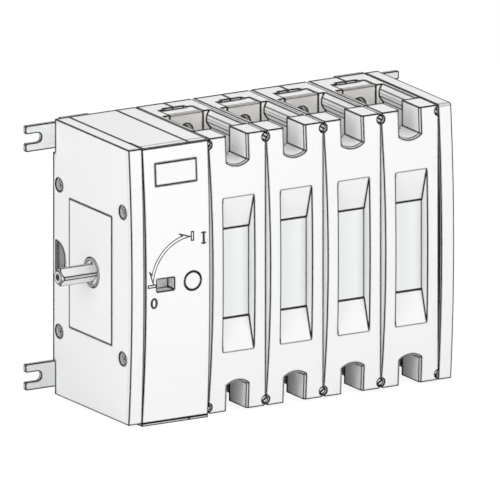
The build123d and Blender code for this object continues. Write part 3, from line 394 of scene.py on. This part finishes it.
def arc_line(radius, start_deg, end_deg):
    """Printed arc round the hub, between two angles of the front view."""
    start()
    bpy.ops.mesh.primitive_torus_add(major_radius=radius, minor_radius=STROKE / 2,
                                     major_segments=ARC_SEGMENTS, minor_segments=ARC_SIDES,
                                     location=(0, 0, 0), rotation=(math.pi / 2, 0, 0))
    ring = bpy.context.active_object
    settle(ring)
    ring.scale = (1, PRINT_DEPTH / STROKE, 1)
    settle(ring)
    for degrees, side in ((start_deg, -1), (end_deg, 1)):
        turn = math.radians(degrees)
        normal = (-side * math.sin(turn), 0, side * math.cos(turn))
        bpy.ops.object.mode_set(mode="EDIT")
        bpy.ops.mesh.select_all(action="SELECT")
        bpy.ops.mesh.bisect(plane_co=(0, 0, 0), plane_no=normal, use_fill=True, clear_outer=True)
        bpy.ops.object.mode_set(mode="OBJECT")
    return ring


def panel_surface(z):
    """Where the bowed panel's surface lies at this height."""
    sag = PANEL_RADIUS - math.sqrt(PANEL_RADIUS ** 2 - (z - MID_Z) ** 2)
    return CASE_FRONT_Y - PANEL_RISE + sag


def indicator_surface(z):
    """Where the indicator's flat face lies at any height."""
    return INDICATOR_FACE_Y


def printed(piece, surface):
    """Moves a flat print to the hub's height and lays it on a surface that faces the front."""
    settle(piece)
    for vertex in piece.data.vertices:
        vertex.co.x += HUB_X
        vertex.co.z += MID_Z
        vertex.co.y += surface(vertex.co.z) + PRINT_DEPTH / 2 - PRINT_PROUD
    return piece


def mirrored(point):
    """The same point across the diagonal between off and on."""
    x, z = point
    return -z, -x


def turn_arrow():
    """Slender double-line arrow from off to on, with a half head at each end."""
    lines = [arc_line(ARROW_OUTER_R, *ARROW_OUTER_SPAN), arc_line(ARROW_INNER_R, *ARROW_INNER_SPAN)]
    off_head = ARROW_TIP, ARROW_BARB, ARROW_BACK
    for tip, barb, back in (off_head, tuple(mirrored(point) for point in off_head)):
        lines += [stroke(barb, tip), stroke(barb, back)]
    return lines


def sides(place, size):
    """Left, right, lower and upper side of an oblong in the front view."""
    (x, z), (width, height) = place, size
    return x - width / 2, x + width / 2, z - height / 2, z + height / 2


def tick(place, size):
    """Small oblong beside an end of the arrow."""
    left, right, low, high = sides(place, size)
    return outline([(left, low), (right, low), (right, high), (left, high)])


def zero(place, size, side, cap):
    """Oval figure nought in the front view, thicker at its sides than at its top and bottom."""
    width, height = size
    start()
    bpy.ops.mesh.primitive_circle_add(vertices=OVAL_SEGMENTS, radius=0.5, location=(0, 0, 0),
                                      rotation=(math.pi / 2, 0, 0))
    ring = bpy.context.active_object
    settle(ring)
    ring.scale = (width, 1, height)
    settle(ring)
    bpy.ops.object.mode_set(mode="EDIT")
    bpy.ops.mesh.select_all(action="SELECT")
    bpy.ops.mesh.extrude_region_move()
    bpy.ops.transform.resize(value=(1 - 2 * side / width, 1, 1 - 2 * cap / height), center_override=(0, 0, 0))
    bpy.ops.object.mode_set(mode="OBJECT")
    bpy.ops.object.modifier_add(type="SOLIDIFY")
    ring.modifiers[0].thickness = PRINT_DEPTH
    ring.modifiers[0].offset = 0
    bpy.ops.object.modifier_apply(modifier=ring.modifiers[0].name)
    ring.location = (place[0], 0, place[1])
    settle(ring)
    return ring


def one(place, size):
    """Roman figure one with its two serifs."""
    left, right, low, high = sides(place, size)
    return [stroke((place[0], low), (place[0], high), ONE_BAR), stroke((left, high), (right, high)),
            stroke((left, low), (right, low))]


def panel_marks():
    """The arrow, its ticks and the figures 0 and I on the front panel."""
    marks = turn_arrow()
    marks += tick(OFF_TICK, (TICK_LONG, TICK_WIDE))
    marks += tick(ON_TICK, (TICK_WIDE, TICK_LONG))
    marks.append(zero(ZERO_PLACE, ZERO_SIZE, ZERO_SIDE, ZERO_CAP))
    marks += one(ONE_PLACE, ONE_SIZE)
    return printed(joined(marks), panel_surface)


def on_mark():
    """Figure I on the indicator: it lies below the hub at off and comes upright behind the window at on."""
    ends = (-ON_MARK_HALF_LENGTH, ON_MARK_HALF_LENGTH)
    low, high = -WINDOW_FROM_HUB - ON_MARK_HALF_SERIF, -WINDOW_FROM_HUB + ON_MARK_HALF_SERIF
    marks = [stroke((ends[0], -WINDOW_FROM_HUB), (ends[1], -WINDOW_FROM_HUB), ON_MARK_BAR)]
    marks += [stroke((x, low), (x, high)) for x in ends]
    return printed(joined(marks), indicator_surface)


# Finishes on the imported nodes

def each_pole(*kinds):
    return [f"pole_{pole}_{kind}" for pole in POLES for kind in kinds]


paint(each_pole("front_cover", "left_body", "right_body"), moulded("pole_casing", 0.79))
paint(["left_cover", "mechanism_shell_left", "mechanism_shell_right", "right_end_cover"],
      moulded("mechanism_casing", 0.79))
paint(["front_panel", "shaft_hole_plug"], moulded("front_panel", 0.81))
paint(["side_label_plate", "front_label_plate"], satin_plate())
paint(["shaft_collar", "shaft_bush"], turned_ring())
paint(each_pole("window"), window_pane())
paint(["position_indicator"], moulded("indicator", 0.83))
paint(each_pole("rotor"), rotor_moulding())
paint(["operating_shaft", "mechanism_frame", "drive_crank", "spring_rod", "spring_seat", "shaft_bevel_gear",
       "front_drive_hub", "mounting_feet"],
      plated_steel("zinc_steel", (0.76, 0.77, 0.78, 1), (0.88, 0.89, 0.90, 1), 0.47))
paint(["terminal_nuts", "pole_clips", "tie_rods", "tie_rod_nuts", "foot_screws"],
      plated_steel("fastener_steel", (0.72, 0.73, 0.74, 1), (0.86, 0.87, 0.88, 1), 0.45, SMALL_LINE_REACH))
paint(["snap_spring", "arc_plates"],
      plated_steel("spring_steel", (0.32, 0.33, 0.35, 1), (0.46, 0.47, 0.49, 1), 0.42))
paint(each_pole("upper_terminal", "lower_terminal", "blades"),
      plated_steel("silvered_copper", (0.82, 0.80, 0.77, 1), (0.90, 0.89, 0.87, 1), 0.50))

ink = printing_ink()
finished(panel_marks(), "panel_marks", "casing", ink)
finished(on_mark(), "on_mark", "front_hub_group", ink)


# Floor, light and camera

def studio_world():
    """Even pale light all round, which the camera sees as white."""
    world = bpy.data.worlds.new("studio")
    world.use_nodes = True
    world.node_tree.nodes.clear()
    graph = Graph(world.node_tree)
    sky = graph.node("ShaderNodeBackground", {}, {"Color": grey(1), "Strength": SKY_LIGHT})
    white = graph.node("ShaderNodeBackground", {}, {"Color": grey(1), "Strength": 1.0})
    direct = graph.node("ShaderNodeLightPath", {}, {}, "Is Camera Ray")
    through = graph.node("ShaderNodeLightPath", {}, {}, "Is Transmission Ray")
    seen = graph.maths("MAXIMUM", direct, through)
    mix = graph.node("ShaderNodeMixShader", {}, {0: seen, 1: sky, 2: white})
    graph.node("ShaderNodeOutputWorld", {}, {"Surface": mix})
    return world


def lamp(name, place, size, power):
    """Soft square lamp that looks at the middle of the switch."""
    light = bpy.data.lights.new(name, "AREA")
    light.size = size
    light.energy = power
    holder = bpy.data.objects.new(name, light)
    holder.location = place
    aim = Vector((0, 0, MID_Z)) - Vector(place)
    holder.rotation_euler = aim.to_track_quat("-Z", "Y").to_euler()
    bpy.context.scene.collection.objects.link(holder)


def photo_camera():
    """Camera that lays the photograph's corner of the panel on the pixel where the photograph has it."""
    cos_turn, sin_turn = math.cos(VIEW_TURN), math.sin(VIEW_TURN)
    cos_tilt, sin_tilt = math.cos(VIEW_TILT), math.sin(VIEW_TILT)
    right = Vector((cos_turn, -sin_turn, 0))
    towards = Vector((-sin_turn * cos_tilt, -cos_turn * cos_tilt, sin_tilt))
    up = towards.cross(right)
    across, down = [(IMAGE_PIXELS / 2 - pixel) / PIXELS_PER_METRE for pixel in VIEW_CORNER_PIXEL]
    target = Vector(VIEW_CORNER) + right * across - up * down
    lens = bpy.data.cameras.new("camera")
    lens.type = "ORTHO"
    lens.ortho_scale = IMAGE_PIXELS / PIXELS_PER_METRE
    camera = bpy.data.objects.new("camera", lens)
    facing = Matrix((right, up, towards)).transposed().to_4x4()
    camera.matrix_world = Matrix.Translation(target + towards * CAMERA_DISTANCE) @ facing
    bpy.context.scene.collection.objects.link(camera)
    return camera


start()
bpy.ops.mesh.primitive_plane_add(size=FLOOR_SIZE, location=(0, 0, -FLOOR_DROP))
floor = bpy.context.active_object
floor.name = "floor"
floor.data.materials.append(studio_floor())

bpy.context.scene.world = studio_world()
lamp("key", place=(0.5, -1.5, 1.5), size=1.2, power=19.5)
lamp("side_fill", place=(-1.7, -0.6, 0.9), size=1.4, power=17)
lamp("top", place=(0.2, 0.4, 1.9), size=1.8, power=8)
bpy.context.scene.camera = photo_camera()
bpy.context.scene.view_settings.view_transform = "Standard"
